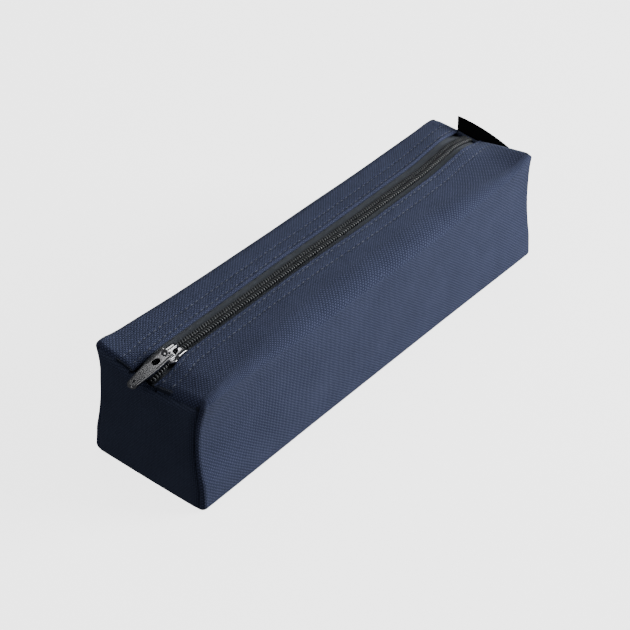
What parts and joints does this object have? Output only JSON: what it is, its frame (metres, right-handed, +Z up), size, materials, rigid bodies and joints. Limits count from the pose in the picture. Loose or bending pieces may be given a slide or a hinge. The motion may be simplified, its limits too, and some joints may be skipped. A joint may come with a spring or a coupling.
{
  "type": "pencil case",
  "caption": "Long square zipped pouch of woven cloth for pencils, with a sliding zip along the top, a pull tag and a ribbon tab.",
  "frame": {"origin": "middle of the flat bottom, halfway between the end panels and the side walls", "axes": "+X along the case away from the closed slider, +Y across it to the back side wall, +Z up"},
  "size_m": [0.2082, 0.053, 0.0511],
  "materials": {
    "navy_cloth": "matt plain-weave polyester, coated inside",
    "zip_tape": "fine woven zip tape",
    "zip_coil": "black nylon filament",
    "black_nickel": "polished black nickel plating",
    "black_ribbon": "matt black ribbon",
    "navy_thread": "spun polyester sewing thread",
    "binding_tape": "woven bias tape"
  },
  "bodies": {
    "root": {"wrap_panel": "navy_cloth", "near_end_panel": "navy_cloth", "far_end_panel": "navy_cloth", "front_top_near": "navy_cloth", "front_top_far": "navy_cloth", "back_top_near": "navy_cloth", "back_top_far": "navy_cloth", "near_seam_thread": "navy_thread", "far_seam_thread": "navy_thread", "near_seam_binding": "binding_tape", "far_seam_binding": "binding_tape"},
    "front_lip": {"front_lip": "navy_cloth", "front_zip_tape": "zip_tape", "front_zip_coil": "zip_coil", "front_edge_topstitch": "navy_thread", "front_outer_topstitch": "navy_thread"},
    "back_lip": {"back_lip": "navy_cloth", "back_zip_tape": "zip_tape", "back_zip_coil": "zip_coil", "back_edge_topstitch": "navy_thread", "back_outer_topstitch": "navy_thread"},
    "slider": {"slider_body": "black_nickel", "slider_crown": "black_nickel"},
    "puller": {"puller": "black_nickel"},
    "tab": {"ribbon_tab": "black_ribbon"}
  },
  "joints": [
    {"name": "slider_travel", "type": "slide", "parent": "root", "child": "slider", "axis": [0.9999, 0.0092, 0.0112], "range_m": [0, 0.16]},
    {"name": "puller_swing", "type": "hinge", "parent": "slider", "child": "puller", "pos_m": [-0.08752, 0.001, 0.04812], "axis": [-0.0092, 1, 0], "range_deg": [0, 180]},
    {"name": "front_lip_open", "type": "hinge", "parent": "root", "child": "front_lip", "pos_m": [0, -0.0245, 0.0434], "axis": [1, 0, 0], "range_deg": [0, 50], "deforming": ["front_zip_tape", "front_zip_coil", "front_edge_topstitch", "front_outer_topstitch"]},
    {"name": "back_lip_open", "type": "hinge", "parent": "root", "child": "back_lip", "pos_m": [0, 0.0245, 0.0434], "axis": [-1, 0, 0], "range_deg": [0, 50], "deforming": ["back_zip_tape", "back_zip_coil", "back_edge_topstitch", "back_outer_topstitch"]},
    {"name": "tab_fold", "type": "hinge", "parent": "root", "child": "tab", "pos_m": [0.1015, 0.0005, 0.0436], "axis": [0, 1, 0], "range_deg": [0, 35], "stiffness_Nm_per_rad": 0.002}
  ],
  "couplings": [
    {"joint": "front_lip_open", "follows": "slider_travel", "rad_per_m": 5.45},
    {"joint": "back_lip_open", "follows": "slider_travel", "rad_per_m": 5.45}
  ]
}
